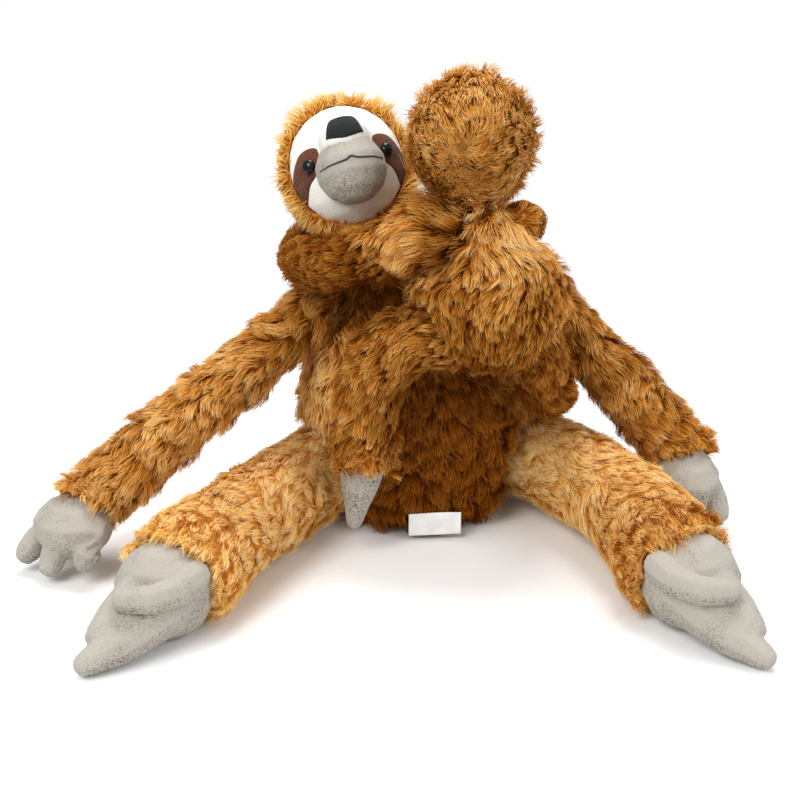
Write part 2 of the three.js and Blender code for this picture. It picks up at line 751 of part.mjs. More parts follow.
const babyEnd = (name) => babyLimbs[name].route.getPointAt(1);
const babyPaws = {
  baby_arm_left: ['baby_hand_left', (grow) => babyHandSolid(
    babyEnd('baby_arm_left'), babyHandLeftHeading, -1, grow,
  )],
  baby_arm_right: ['baby_hand_right', (grow) => babyHandSolid(
    babyEnd('baby_arm_right'), babyHandRightHeading, 1, grow,
  )],
  baby_leg_left: ['baby_foot_left', (grow) => babyFootSolid(
    babyEnd('baby_leg_left'), babyFootLeftAim, 1, grow,
  )],
  baby_leg_right: ['baby_foot_right', (grow) => babyFootSolid(
    babyEnd('baby_leg_right'), babyFootRightAim, babyFarFootShare, grow,
  )],
};

// The mother's left shoulder and upper arm, which the baby's left arm lies over
function shoulderSweep() {
  const upper = stuffedTube({ ...limbs.arm_left, grow: seamGap, until: limbs.arm_left.near });
  return swept(upper, limbs.arm_left.pivot, limbs.arm_left.axis, limbs.arm_left.range);
}

function placeBaby() {
  const sockets = Object.values(babyLimbs).map(socket);
  const torso = without(babyTorsoSolid(), [torsoSolid(seamGap), ...sockets, babyCup]);
  place('baby_torso', torso, fur);
  for (const [name, settings] of Object.entries(babyLimbs)) {
    const [pawName, pawSolid] = babyPaws[name];
    const group = jointGroup(settings.pivot);
    const cutters = [pawSolid(seamGap), torsoSolid(seamGap), neckCup];
    if (name === 'baby_arm_left') cutters.push(shoulderSweep());
    place(name, without(stuffedTube(settings), cutters), fur, group);
    place(pawName, without(pawSolid(0), [torsoSolid(seamGap)]), greyPlush, group);
    if (name === 'baby_arm_left') place('hook_pad', padSolid(-1), blackThread, group);
    if (name === 'baby_arm_right') place('loop_pad', padSolid(1), blackThread, group);
  }
  const head = jointGroup(point(babyHeadPlace));
  for (const [name, solid, look] of headPieces()) place(`baby_${name}`, moved(solid, babyFrame), look, head);
}

placeMother();
placeBaby();

export default toy;
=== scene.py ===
import json
import math

import bmesh
import bpy
import numpy as np
from mathutils import Matrix, Vector, noise
from mathutils.bvhtree import BVHTree
from mathutils.kdtree import KDTree

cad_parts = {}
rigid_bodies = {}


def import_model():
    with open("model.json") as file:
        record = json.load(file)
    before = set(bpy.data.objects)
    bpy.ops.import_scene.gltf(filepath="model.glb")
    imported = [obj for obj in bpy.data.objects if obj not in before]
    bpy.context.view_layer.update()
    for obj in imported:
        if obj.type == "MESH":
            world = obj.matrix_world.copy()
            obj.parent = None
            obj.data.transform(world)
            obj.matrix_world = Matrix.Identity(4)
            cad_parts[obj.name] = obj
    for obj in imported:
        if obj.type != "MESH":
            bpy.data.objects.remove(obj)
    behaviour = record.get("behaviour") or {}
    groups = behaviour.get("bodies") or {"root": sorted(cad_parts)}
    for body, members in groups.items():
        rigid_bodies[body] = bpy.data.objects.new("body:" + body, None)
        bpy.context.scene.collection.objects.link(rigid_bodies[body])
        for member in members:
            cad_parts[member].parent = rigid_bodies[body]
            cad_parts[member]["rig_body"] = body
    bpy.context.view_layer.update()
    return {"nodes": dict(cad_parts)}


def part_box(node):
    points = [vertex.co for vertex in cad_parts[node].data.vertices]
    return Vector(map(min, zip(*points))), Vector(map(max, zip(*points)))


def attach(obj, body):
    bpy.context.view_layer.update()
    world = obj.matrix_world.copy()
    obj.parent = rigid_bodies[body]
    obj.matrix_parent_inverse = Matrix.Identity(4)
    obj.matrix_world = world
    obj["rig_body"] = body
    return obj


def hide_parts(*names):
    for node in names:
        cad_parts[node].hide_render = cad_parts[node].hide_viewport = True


mm = 0.001
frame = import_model()
nodes = frame["nodes"]
scene = bpy.context.scene

# Camera, lamps and floor
cameraSettings = {"place": (-0.02125, -1.2544, 0.5524), "tilt": 70, "lens": 68.8, "sensor": 36}
lamps = {
    "keyLamp": {"place": (-1.1, -1.5, 1.7), "size": 1.3, "power": 39},
    "fillLamp": {"place": (1.5, -1.2, 1.1), "size": 1.4, "power": 16},
    "topLamp": {"place": (0.1, 0.5, 2.1), "size": 1.2, "power": 31},
}
roomLight = 0.5
lampAim = (0, -0.05, 0.12)
floorSettings = {"radius": 0.75, "sides": 96, "grey": 0.93, "roughness": 0.95, "fade": (0.42, 0.72)}


def tone(colour):
    linear = [((c / 255 + 0.055) / 1.055) ** 2.4 if c > 10 else c / 255 / 12.92 for c in colour]
    return (*linear, 1)


def addPiece(name, data):
    piece = bpy.data.objects.new(name, data)
    scene.collection.objects.link(piece)
    return piece


def pieceFrom(name, sheet):
    mesh = bpy.data.meshes.new(name)
    sheet.to_mesh(mesh)
    sheet.free()
    return addPiece(name, mesh)


def makeStage():
    camera = bpy.data.cameras.new("camera")
    camera.lens = cameraSettings["lens"]
    camera.sensor_width = cameraSettings["sensor"]
    holder = addPiece("camera", camera)
    holder.location = cameraSettings["place"]
    holder.rotation_euler = (math.radians(cameraSettings["tilt"]), 0, 0)
    scene.camera = holder
    for name, settings in lamps.items():
        lamp = bpy.data.lights.new(name, "AREA")
        lamp.energy = settings["power"]
        lamp.size = settings["size"]
        holder = addPiece(name, lamp)
        holder.location = settings["place"]
        holder.rotation_euler = (Vector(lampAim) - holder.location).to_track_quat("-Z", "Y").to_euler()
    makeFloor()
    makeRoom()
    scene.view_settings.view_transform = "Standard"


def makeFloor():
    sheet = bmesh.new()
    bmesh.ops.create_circle(
        sheet, cap_ends=True, segments=floorSettings["sides"], radius=floorSettings["radius"]
    )
    floor = pieceFrom("floor", sheet)
    material, tree, shader = startMaterial("floorPaper", floorSettings["roughness"])
    shader.inputs["Base Color"].default_value = (*[floorSettings["grey"]] * 3, 1)
    shader.inputs["Specular IOR Level"].default_value = 0
    away = tree.nodes.new("ShaderNodeVectorMath")
    away.operation = "LENGTH"
    tree.links.new(objectPlace(tree), away.inputs[0])
    faded = addRange(tree, away.outputs["Value"], *floorSettings["fade"], 1, 0)
    tree.links.new(faded, shader.inputs["Alpha"])
    floor.data.materials.append(material)


# White to the camera, a dimmer light to everything else
def makeRoom():
    world = bpy.data.worlds.new("studio")
    scene.world = world
    world.use_nodes = True
    tree = world.node_tree
    room = tree.nodes["Background"]
    room.inputs["Color"].default_value = (1, 1, 1, 1)
    room.inputs["Strength"].default_value = roomLight
    backdrop = tree.nodes.new("ShaderNodeBackground")
    backdrop.inputs["Color"].default_value = (1, 1, 1, 1)
    backdrop.inputs["Strength"].default_value = 1
    path = tree.nodes.new("ShaderNodeLightPath")
    mix = tree.nodes.new("ShaderNodeMixShader")
    tree.links.new(path.outputs["Is Camera Ray"], mix.inputs[0])
    tree.links.new(room.outputs[0], mix.inputs[1])
    tree.links.new(backdrop.outputs[0], mix.inputs[2])
    tree.links.new(mix.outputs[0], tree.nodes["World Output"].inputs["Surface"])


def startMaterial(name, roughness, sheen=0):
    material = bpy.data.materials.new(name)
    material.use_nodes = True
    tree = material.node_tree
    shader = tree.nodes["Principled BSDF"]
    shader.inputs["Roughness"].default_value = roughness
    shader.inputs["Sheen Weight"].default_value = sheen
    shader.inputs["Sheen Roughness"].default_value = 0.5
    return material, tree, shader


def objectPlace(tree):
    return tree.nodes.new("ShaderNodeTexCoord").outputs["Object"]


def addNoise(tree, place, scale, detail=2, roughness=0.5):
    node = tree.nodes.new("ShaderNodeTexNoise")
    node.inputs["Scale"].default_value = scale
    node.inputs["Detail"].default_value = detail
    node.inputs["Roughness"].default_value = roughness
    tree.links.new(place, node.inputs["Vector"])
    return node.outputs["Fac"]


def addRange(tree, value, low, high, start=0, end=1):
    node = tree.nodes.new("ShaderNodeMapRange")
    node.inputs["From Min"].default_value = low
    node.inputs["From Max"].default_value = high
    node.inputs["To Min"].default_value = start
    node.inputs["To Max"].default_value = end
    tree.links.new(value, node.inputs["Value"])
    return node.outputs[0]


def addMath(tree, operation, first, second):
    node = tree.nodes.new("ShaderNodeMath")
    node.operation = operation
    for socket, value in zip(node.inputs, (first, second)):
        if isinstance(value, (int, float)):
            socket.default_value = value
        else:
            tree.links.new(value, socket)
    return node.outputs[0]


def addMix(tree, factor, first, second):
    node = tree.nodes.new("ShaderNodeMix")
    node.data_type = "RGBA"
    tree.links.new(factor, node.inputs["Factor"])
    for socket, value in ((node.inputs["A"], first), (node.inputs["B"], second)):
        if isinstance(value, tuple):
            socket.default_value = value
        else:
            tree.links.new(value, socket)
    return node.outputs["Result"]


def addRamp(tree, value, stops):
    node = tree.nodes.new("ShaderNodeValToRGB")
    tree.links.new(value, node.inputs[0])
    ramp = node.color_ramp
    while len(ramp.elements) < len(stops):
        ramp.elements.new(0.5)
    for element, (place, colour) in zip(ramp.elements, stops):
        element.position = place
        element.color = tone(colour)
    return node.outputs["Color"]


def addBump(tree, shader, height, distance, strength=1):
    node = tree.nodes.new("ShaderNodeBump")
    node.inputs["Strength"].default_value = strength
    node.inputs["Distance"].default_value = distance
    tree.links.new(height, node.inputs["Height"])
    tree.links.new(node.outputs[0], shader.inputs["Normal"])


# Long pile, from root to tip along the strand's own map, for a dark, a middle and a light strand.
# The darker roots are painted shade down in the pile, on top of the fibre's own colour
pileColours = [
    [(60, 21, 0), (106, 50, 4), (154, 86, 14), (204, 130, 40)],
    [(138, 68, 5), (190, 114, 26), (232, 164, 64), (255, 220, 138)],
    [(224, 156, 52), (250, 202, 98), (255, 228, 150), (255, 243, 206)],
]
pileLook = {
    "roughness": 0.7, "specular": 0.06, "through": 0.4, "stops": (0, 0.4, 0.75, 1),
    "toMiddle": (0.05, 0.5), "toLight": (0.5, 0.95),
}


def pileMaterial():
    material, tree, shader = startMaterial("longPile", pileLook["roughness"])
    shader.inputs["Specular IOR Level"].default_value = pileLook["specular"]
    uv = tree.nodes.new("ShaderNodeUVMap")
    uv.uv_map = "OFBake"
    split = tree.nodes.new("ShaderNodeSeparateXYZ")
    tree.links.new(uv.outputs[0], split.inputs[0])
    along = split.outputs["Y"]
    dark, middle, light = (
        addRamp(tree, along, list(zip(pileLook["stops"], colours))) for colours in pileColours
    )
    tint = split.outputs["X"]
    warm = addMix(tree, addRange(tree, tint, *pileLook["toMiddle"]), dark, middle)
    colour = addMix(tree, addRange(tree, tint, *pileLook["toLight"]), warm, light)
    tree.links.new(colour, shader.inputs["Base Color"])
    through = tree.nodes.new("ShaderNodeBsdfTranslucent")
    tree.links.new(colour, through.inputs["Color"])
    both = tree.nodes.new("ShaderNodeMixShader")
    both.inputs[0].default_value = pileLook["through"]
    tree.links.new(shader.outputs[0], both.inputs[1])
    tree.links.new(through.outputs[0], both.inputs[2])
    tree.links.new(both.outputs[0], tree.nodes["Material Output"].inputs["Surface"])
    return material


# The knitted ground that the pile grows from, for dark and for pale pelts
grounds = {
    "pileGround": [(150, 82, 18), (196, 120, 38)],
    "paleGround": [(214, 156, 76), (234, 186, 108)],
}
groundLook = {"roughness": 0.95, "broad": 60, "fine": 700, "stops": (0.3, 0.7), "nap": 0.0006}


def groundMaterial(name, tones):
    material, tree, shader = startMaterial(name, groundLook["roughness"])
    place = objectPlace(tree)
    broad = addNoise(tree, place, groundLook["broad"], 3)
    fine = addNoise(tree, place, groundLook["fine"])
    colour = addRamp(tree, broad, list(zip(groundLook["stops"], tones)))
    tree.links.new(colour, shader.inputs["Base Color"])
    addBump(tree, shader, fine, groundLook["nap"])
    return material


# Short plush: colour of its tips and of its depth, which is also painted as shade on its underside,
# how dark its specks are, how much of it stands open, and how high its nap stands
velboas = {
    "greyVelboa": {
        "light": (174, 168, 157), "deep": (84, 76, 62), "speck": 0.8, "open": 0.1, "nap": 0.0006,
        "slot": "grey_plush",
    },
    "whiteVelboa": {
        "light": (242, 240, 232), "deep": (206, 199, 178), "speck": 0.18, "open": 0.06, "nap": 0.0003,
        "slot": "white_plush",
    },
    "brownVelboa": {
        "light": (110, 58, 28), "deep": (36, 16, 6), "speck": 0.95, "open": 0.75, "nap": 0.0005,
        "slot": "brown_plush",
    },
    "blackVelboa": {
        "light": (15, 22, 23), "deep": (5, 8, 9), "speck": 0.5, "open": 0.4, "nap": 0.0003,
        "slot": "black_plush",
    },
}
velboaLook = {
    "roughness": 0.9, "sheen": 0.1, "drift": (0.75, 0.9, 1), "strokes": 760, "tufts": 1700, "patches": 45,
    "grain": 0.6, "shares": (0.6, 0.4), "specks": (0.47, 0.58), "parted": (0.48, 0.68), "most": 0.7,
    "paintedUnderShade": (-0.4, 0.35, 0.8, 0),
}


# Strokes of nap, darker where the plush opens, and darker on its underside as painted shade
def velboaMaterial(name, settings):
    material, tree, shader = startMaterial(name, velboaLook["roughness"], velboaLook["sheen"])
    place = objectPlace(tree)
    drift = tree.nodes.new("ShaderNodeMapping")
    drift.inputs["Scale"].default_value = velboaLook["drift"]
    tree.links.new(place, drift.inputs["Vector"])
    brushed = drift.outputs[0]
    strokes = addNoise(tree, brushed, velboaLook["strokes"], 2, velboaLook["grain"])
    tufts = addNoise(tree, brushed, velboaLook["tufts"], 2, velboaLook["grain"])
    patches = addNoise(tree, place, velboaLook["patches"])
    turned = tree.nodes.new("ShaderNodeSeparateXYZ")
    tree.links.new(tree.nodes.new("ShaderNodeNewGeometry").outputs["Normal"], turned.inputs[0])
    # Painted shade: surfaces that face down take more of the darker colour
    paintedUnderShade = addRange(tree, turned.outputs["Z"], *velboaLook["paintedUnderShade"])
    parted = addRange(tree, patches, *velboaLook["parted"], settings["open"], velboaLook["most"])
    partedAndUnderShade = addMath(tree, "ADD", parted, paintedUnderShade)
    shares = zip((strokes, tufts), velboaLook["shares"])
    coarse, fine = (addMath(tree, "MULTIPLY", grain, share) for grain, share in shares)
    mixed = addMath(tree, "ADD", coarse, fine)
    specks = addMath(tree, "MULTIPLY", addRange(tree, mixed, *velboaLook["specks"]), partedAndUnderShade)
    factor = addMath(tree, "MULTIPLY", specks, settings["speck"])
    colour = addMix(tree, factor, tone(settings["light"]), tone(settings["deep"]))
    tree.links.new(colour, shader.inputs["Base Color"])
    addBump(tree, shader, mixed, settings["nap"] * 2)
    return material


# Plain stuffs: two tones of a noise, and how far that noise lifts the surface
plainStuffs = {
    "blackThread": {
        "roughness": 0.55, "sheen": 0.3, "scale": 1400, "detail": 2, "lift": 0.0005,
        "stops": [(0.35, (14, 13, 12)), (0.65, (38, 35, 33))],
    },
    "eyePlastic": {
        "roughness": 0.05, "sheen": 0, "scale": 260, "detail": 3, "lift": 0,
        "stops": [(0.3, (8, 8, 8)), (0.75, (20, 17, 15))],
    },
    "washerPlastic": {
        "roughness": 0.4, "sheen": 0, "scale": 300, "detail": 2, "lift": 0,
        "stops": [(0.3, (214, 214, 208)), (0.7, (232, 232, 226))],
    },
    "padNap": {
        "roughness": 0.9, "sheen": 0.4, "scale": 1100, "detail": 3, "lift": 0.0008,
        "stops": [(0.35, (70, 38, 16)), (0.65, (120, 74, 34))],
    },
    "labelSatin": {
        "roughness": 0.42, "sheen": 0.2, "scale": 90, "detail": 2, "lift": 0,
        "stops": [(0.3, (224, 225, 224)), (0.7, (246, 246, 244))],
    },
}
labelWeave = {"scale": 700, "lift": 0.0001, "strength": 0.6}
eyeGloss = {"specular": 0.35, "roughness": (0.3, 0.8, 0.02, 0.06)}


def plainMaterial(name, settings):
    material, tree, shader = startMaterial(name, settings["roughness"], settings["sheen"])
    place = objectPlace(tree)
    grain = addNoise(tree, place, settings["scale"], settings["detail"])
    tree.links.new(addRamp(tree, grain, settings["stops"]), shader.inputs["Base Color"])
    if settings["lift"]:
        addBump(tree, shader, grain, settings["lift"])
    if name == "eyePlastic":
        worn = addRange(tree, grain, *eyeGloss["roughness"])
        tree.links.new(worn, shader.inputs["Roughness"])
        shader.inputs["Specular IOR Level"].default_value = eyeGloss["specular"]
    if name == "labelSatin":
        weave = tree.nodes.new("ShaderNodeTexWave")
        weave.inputs["Scale"].default_value = labelWeave["scale"]
        weave.bands_direction = "Z"
        tree.links.new(place, weave.inputs["Vector"])
        addBump(tree, shader, weave.outputs["Fac"], labelWeave["lift"], labelWeave["strength"])
    return material


def finishedMesh(piece):
    graph = bpy.context.evaluated_depsgraph_get()
    mesh = bpy.data.meshes.new_from_object(piece.evaluated_get(graph))
    old = piece.data
    piece.modifiers.clear()
    piece.data = mesh
    bpy.data.meshes.remove(old)
    mesh.name = piece.name


def addModifier(piece, kind, **settings):
    modifier = piece.modifiers.new(kind.lower(), kind)
    for key, value in settings.items():
        setattr(modifier, key, value)


# A welded, evenly meshed and softened copy of a solid
def softCopy(node, name, voxel, rounds):
    mesh = nodes[node].data.copy()
    mesh.materials.clear()
    welded = bmesh.new()
    welded.from_mesh(mesh)
    bmesh.ops.remove_doubles(welded, verts=welded.verts, dist=1e-6)
    bmesh.ops.recalc_face_normals(welded, faces=welded.faces)
    welded.to_mesh(mesh)
    welded.free()
    piece = addPiece(name, mesh)
    addModifier(piece, "REMESH", mode="VOXEL", voxel_size=voxel * mm)
    addModifier(piece, "SMOOTH", factor=0.5, iterations=rounds)
    finishedMesh(piece)
    return piece


def readMesh(mesh):
    places = np.empty(len(mesh.vertices) * 3)
    mesh.vertices.foreach_get("co", places)
    normals = np.empty(len(mesh.vertices) * 3)
    mesh.vertices.foreach_get("normal", normals)
    return places.reshape(-1, 3), normals.reshape(-1, 3)


def treeOf(meshes):
    places, faces = [], []
    for mesh in meshes:
        start = len(places)
        places.extend(v.co.copy() for v in mesh.vertices)
        faces.extend([start + i for i in polygon.vertices] for polygon in mesh.polygons)
    return BVHTree.FromPolygons(places, faces)


def unit(vectors):
    return vectors / np.maximum(np.linalg.norm(vectors, axis=-1, keepdims=True), 1e-12)


# Each furry piece. "nap" is the line in mm that the pile runs along, or "face" where it runs back
# from the face. Tints, 0 for dark and 1 for light, and lengths are spread over that line. A spot is
# a place, a radius, a change of tint and a change of length. Some tints and spots paint shade and a
# highlight, as noted at those pieces
legPelt = {"count": 28500, "ground": "paleGround", "lift": (0.3, 0.54), "pull": 0.62}
pelts = {
    "torso": {
        "nap": [(-42, -7, 258), (-10, 0, 120), (0, 0, 0)], "count": 49000, "parts": 2, "voxel": 4.5,
        # Darker towards the belly: partly the pile's own darker colour, partly painted shade under the baby
        # and the legs
        "tints": (1, 1, 0.86, 0.4, 0), "pressed": 0.8,
        # Painted shade: the dark spots on the belly under the baby and in the hollow under the baby's arm
        "spots": [
            ((25, -95, 95), 72, -0.95, 0), ((22, -98, 140), 48, -0.8, 0), ((-50, -68, 208), 46, -1.3, 0),
        ],
    },
    "arm_left": {
        "nap": [(-85, -20, 190), (-180, -80, 130), (-276, -126, 49)], "count": 24000,
        "tints": (0.42, 0.6, 0.66),
    },
    "arm_right": {
        "nap": [(85, 20, 190), (155, -12, 138), (220, -44, 60)], "count": 20000,
        "tints": (0.28, 0.42, 0.46),
    },
    "leg_left": {**legPelt, "nap": [(-76, -18, 46), (-182, -223, 42)], "tints": (1.02, 1)},
    "leg_right": {
        **legPelt, "nap": [(76, 18, 46), (150, -104, 44), (185, -208, 42)], "tints": (1.12, 1, 0.66),
    },
    "hood": {
        "nap": "face", "count": 23500, "pile": 15, "shrink": 3.5, "voxel": 2.5, "tints": (0.9, 0.75, 0.4),
        "lift": (0.26, 0.46), "perTuft": 9, "pull": 0.36, "spots": [((-10, -38, 300), 34, 0, 0.7)],
    },
    "baby_torso": {
        "nap": [(48, -100, 290), (47, -109, 230), (47, -109, 163)], "count": 27500,
        "tints": (0.98, 0.42, 0), "pile": 14, "perTuft": 15, "pull": 0.72, "curl": 0.06,
        "spots": [((50, -104, 282), 42, -0.1, 0.9)],
    },
    "baby_hood": {
        "nap": "face", "count": 21000, "pile": 13, "shrink": 5, "voxel": 2.2, "tints": (0.84, 0.58, 0.3),
        "perTuft": 16, "pull": 0.42,
        "spots": [((-8, -95, 332), 32, 0, 0.5), ((40, -102, 300), 34, -0.1, 0.7)],
    },
    "baby_arm_left": {
        "nap": [(12, -105, 276), (-40, -101, 254), (-92, -62, 235), (-100, 4, 235), (-44, 36, 241)],
        "count": 19000, "voxel": 3, "pile": 18, "shrink": 5, "tints": (0.3, 0.2, 0.16, 0.16, 0.16),
        "lengths": (1.5, 1.1, 0.75, 0.7, 0.8), "perTuft": 18, "pull": 0.65, "curl": 0.06, "pressed": 0.5,
        # Painted shade on the arm's underside, where it is also shorter, and a painted highlight on its top
        # edge near the chin
        "spots": [((-35, -112, 236), 30, -0.25, -0.55), ((-22, -122, 272), 28, 0.36, 0)],
    },
    "baby_arm_right": {
        "nap": [(73, -98, 278), (77, -60, 267), (44, 20, 247), (-24, 60, 241)],
        "count": 9000, "voxel": 3, "pile": 15, "shrink": 5, "tints": (0.4, 0.3), "pressed": 0.5,
        "lengths": (0.55, 0.8, 1, 1), "lift": (0.2, 0.4),
    },
    "baby_leg_left": {
        "nap": [(20, -112, 194), (-38, -120, 172), (-48, -117, 137), (-50, -112, 92)],
        "count": 18000, "tints": (0.38, 0.26, 0.38), "perTuft": 18, "pull": 0.68, "curl": 0.06,
    },
    "baby_leg_right": {
        "nap": [(82, -110, 190), (105, -56, 120), (109, -14, 107), (98, 58, 109)],
        # Tinted dark as painted shade: this leg lies in shadow behind the baby and the mother's arm
        "count": 8000, "voxel": 3, "pile": 14, "shrink": 5, "tints": (0.2, 0),
    },
}
peltDefaults = {
    "pile": 17, "shrink": 6.5, "voxel": 4, "parts": 1, "fill": 0.6, "rounds": 6, "lift": (0.42, 0.72),
    "perTuft": 32, "pull": 0.5, "curl": 0.03, "lengths": (1,), "pressed": 0, "spots": (),
    "ground": "pileGround",
}
skinFloor = 0.4

# Strands: width, clearance, floor and flat length in mm, the rest as shares, powers or radians.
# A flat strand is one that another body's piece rests on
strand = {
    "width": 0.75, "widths": (0.7, 1.2), "shares": (0.8, 1, 0.8, 0.12), "lengths": (0.72, 1.08),
    "lifts": (0.2, 0.98), "liftSpread": 0.08, "droop": 0.16, "layPower": 1.6, "sway": 0.35, "twist": 0.25,
    "pulls": (0.55, 1.15), "pullPower": 1.25, "tintSpread": 0.09, "tints": (0.06, 0.94),
    "spare": 1.35, "clear": 1.2, "floor": 0.3, "seat": 1.5, "seatTurn": -0.5, "flatLift": 0.2,
    "flatLength": 13,
}
tuft = {
    "swirl": 1.2, "swirlScale": 28, "stray": 0.25, "lumps": 0.5, "lumpScale": 55, "lengths": (0.85, 1.12),
    "flareFrom": 0.78, "flare": 1.8, "flareMost": 0.36, "liftMost": 0.97, "waves": 0.95, "curlPower": 0.8,
    "drift": 0.26, "driftScale": 45, "tintSpread": 0.08,
}
alongStrand = np.linspace(0, 1, len(strand["shares"]))


def headFrame(place, yaw, roll, pitch, size):
    turn = Matrix.Rotation(math.radians(yaw), 4, "Z")
    turn = turn @ Matrix.Rotation(math.radians(roll), 4, "Y")
    turn = turn @ Matrix.Rotation(math.radians(pitch), 4, "X")
    return Matrix.Translation(Vector(place) * mm) @ turn @ Matrix.Scale(size, 4)


heads = {
    "": headFrame((-65, -16, 303), 9, -10.8, -27, 1),
    "baby_": headFrame((35, -95, 342), 168, 0, -8, 0.86),
}
faceReach = 0.06


def headOf(node):
    return heads["baby_" if node.startswith("baby") else ""]


# The way the pile lies at each place, and how far along its line that place is
def napAt(places, nap, node):
    if nap == "face":
        front = np.array(headOf(node) @ Vector((0, -faceReach, 0)))
        middle = np.array(headOf(node).to_translation())
        return places - front, np.arccos(unit(places - middle) @ unit(front - middle)) / math.pi
    line = np.array(nap) * mm
    best = np.full(len(places), np.inf)
    found = np.zeros_like(places)
    along = np.zeros(len(places))
    for number, (start, end) in enumerate(zip(line[:-1], line[1:])):
        run = end - start
        share = np.clip(((places - start) @ run) / (run @ run), 0, 1)
        away = np.linalg.norm(places - start - share[:, None] * run, axis=1)
        closer = away < best
        best[closer] = away[closer]
        found[closer] = run
        along[closer] = (number + share[closer]) / (len(line) - 1)
    return found, along


# The cloth under the pile: the solid's soft copy, shrunk to leave room for the pile. A hood keeps
# its inner side
def growSkin(node, settings, ground):
    skin = softCopy(node, node + "_skin", settings["voxel"], settings["rounds"])
    places, normals = readMesh(skin.data)
    amount = np.full(len(places), settings["shrink"] * mm)
    if settings["nap"] == "face":
        centre = np.array(headOf(node).to_translation())
        facing = (unit(places - centre) * normals).sum(1)
        amount *= np.clip(facing * 2, 0, 1)
    places -= normals * amount[:, None]
    places[:, 2] = np.maximum(places[:, 2], skinFloor * mm)
    skin.data.vertices.foreach_set("co", places.ravel())
    skin.data.shade_smooth()
    skin.data.materials.append(ground)
    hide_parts(node)
    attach(skin, nodes[node]["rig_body"])
    return skin


def scatter(mesh, count, rng):
    mesh.calc_loop_triangles()
    corners = np.empty(len(mesh.loop_triangles) * 3, np.int32)
    mesh.loop_triangles.foreach_get("vertices", corners)
    corners = corners.reshape(-1, 3)
    places, normals = readMesh(mesh)
    a, b, c = (places[corners[:, i]] for i in range(3))
    areas = np.linalg.norm(np.cross(b - a, c - a), axis=1)
    chosen = np.searchsorted(np.cumsum(areas), rng.random(count) * areas.sum())
    chosen = np.minimum(chosen, len(corners) - 1)
    first, second = rng.random(count), rng.random(count)
    folded = first + second > 1
    first[folded], second[folded] = 1 - first[folded], 1 - second[folded]
    shares = np.stack([1 - first - second, first, second], 1)[:, :, None]
    roots = (places[corners[chosen]] * shares).sum(1)
    up = unit((normals[corners[chosen]] * shares).sum(1))
    return roots, up


# Roots of the strands. Under another body's piece only the pressed share of them grows, and none
# grows on the side that the toy sits on
def pickRoots(skin, settings, others, rng):
    roots, up = scatter(skin.data, int(settings["count"] * strand["spare"]), rng)
    outer = roots + up * settings["shrink"] * mm
    clear = strand["clear"] * mm
    flat = np.array([others.find_nearest(place, clear)[0] is not None for place in outer.tolist()])
    keep = ~flat | (rng.random(len(roots)) < settings["pressed"])
    keep &= ~((outer[:, 2] < strand["seat"] * mm) & (up[:, 2] < strand["seatTurn"]))
    return [rows[keep][: settings["count"]] for rows in (roots, up, outer, flat)]


def smoothNoise(places, scale, offset=(0, 0, 0)):
    return np.array([noise.noise(Vector(place) * scale + Vector(offset)) for place in places])


def spread(along, values):
    return np.interp(along, np.linspace(0, 1, len(values)), values)


# Tufts that the strands gather in. Each strand's own tuft is in "mine"
def gatherTufts(node, settings, roots, up, flat, rng):
    free = np.nonzero(~flat)[0]
    picked = rng.choice(free, len(free) // settings["perTuft"], replace=False)
    finder = KDTree(len(picked))
    for i, k in enumerate(picked):
        finder.insert(roots[k], i)
    finder.balance()
    mine = np.array([finder.find(place)[1] for place in roots.tolist()])
    centres, rise = roots[picked], up[picked]
    count = len(centres)
    nap, along = napAt(centres, settings["nap"], node)
    lay = unit(nap - rise * (nap * rise).sum(1, keepdims=True))
    side = np.cross(rise, lay)
    swirl = smoothNoise(centres, tuft["swirlScale"]) * tuft["swirl"]
    swirl += rng.normal(0, tuft["stray"], count)
    lay, side = (
        lay * np.cos(swirl)[:, None] + side * np.sin(swirl)[:, None],
        side * np.cos(swirl)[:, None] - lay * np.sin(swirl)[:, None],
    )
    lift = rng.uniform(*settings["lift"], count)
    if settings["nap"] != "face":
        flare = np.clip((along - tuft["flareFrom"]) * tuft["flare"], 0, tuft["flareMost"])
        lift = np.minimum(lift + flare, tuft["liftMost"])
    phase = rng.uniform(0, 1, count)
    size = 1 + tuft["lumps"] * smoothNoise(centres, tuft["lumpScale"], (9, 0, 0))
    tint, longer = spread(along, settings["tints"]), spread(along, settings["lengths"])
    # On the torso and the baby's left arm a spot's change of tint paints shade, and on that arm also a
    # highlight
    for place, radius, tintChange, lengthChange in settings["spots"]:
        away = np.linalg.norm(centres - np.array(place) * mm, axis=1) / radius / mm
        close = np.exp(-(away**2))
        tint += tintChange * close
        longer += lengthChange * close
    size *= longer
    tint += tuft["drift"] * smoothNoise(centres, tuft["driftScale"], (5, 5, 5))
    length = settings["pile"] * mm * rng.uniform(*tuft["lengths"], count) * size
    wave = np.sin(2 * math.pi * (tuft["waves"] * alongStrand[None] + phase[:, None]))
    wave -= np.sin(2 * math.pi * phase)[:, None]
    curl = settings["curl"] * settings["pile"] * mm * wave * alongStrand ** tuft["curlPower"]
    middle = strandPaths(centres, rise, lay, length, lift) + side[:, None] * curl[..., None]
    return {
        "mine": mine, "middle": middle, "lay": lay, "side": side, "lift": lift, "size": size, "tint": tint,
    }


# Strands that rise from their roots and then lie over
def strandPaths(start, rise, lay, length, lift):
    up = np.sin(alongStrand * math.pi / 2) - strand["droop"] * alongStrand**3
    out = alongStrand ** strand["layPower"]
    high = (length * lift)[:, None] * up
    far = (length * np.sqrt(1 - lift**2))[:, None] * out
    return start[:, None] + rise[:, None] * high[..., None] + lay[:, None] * far[..., None]


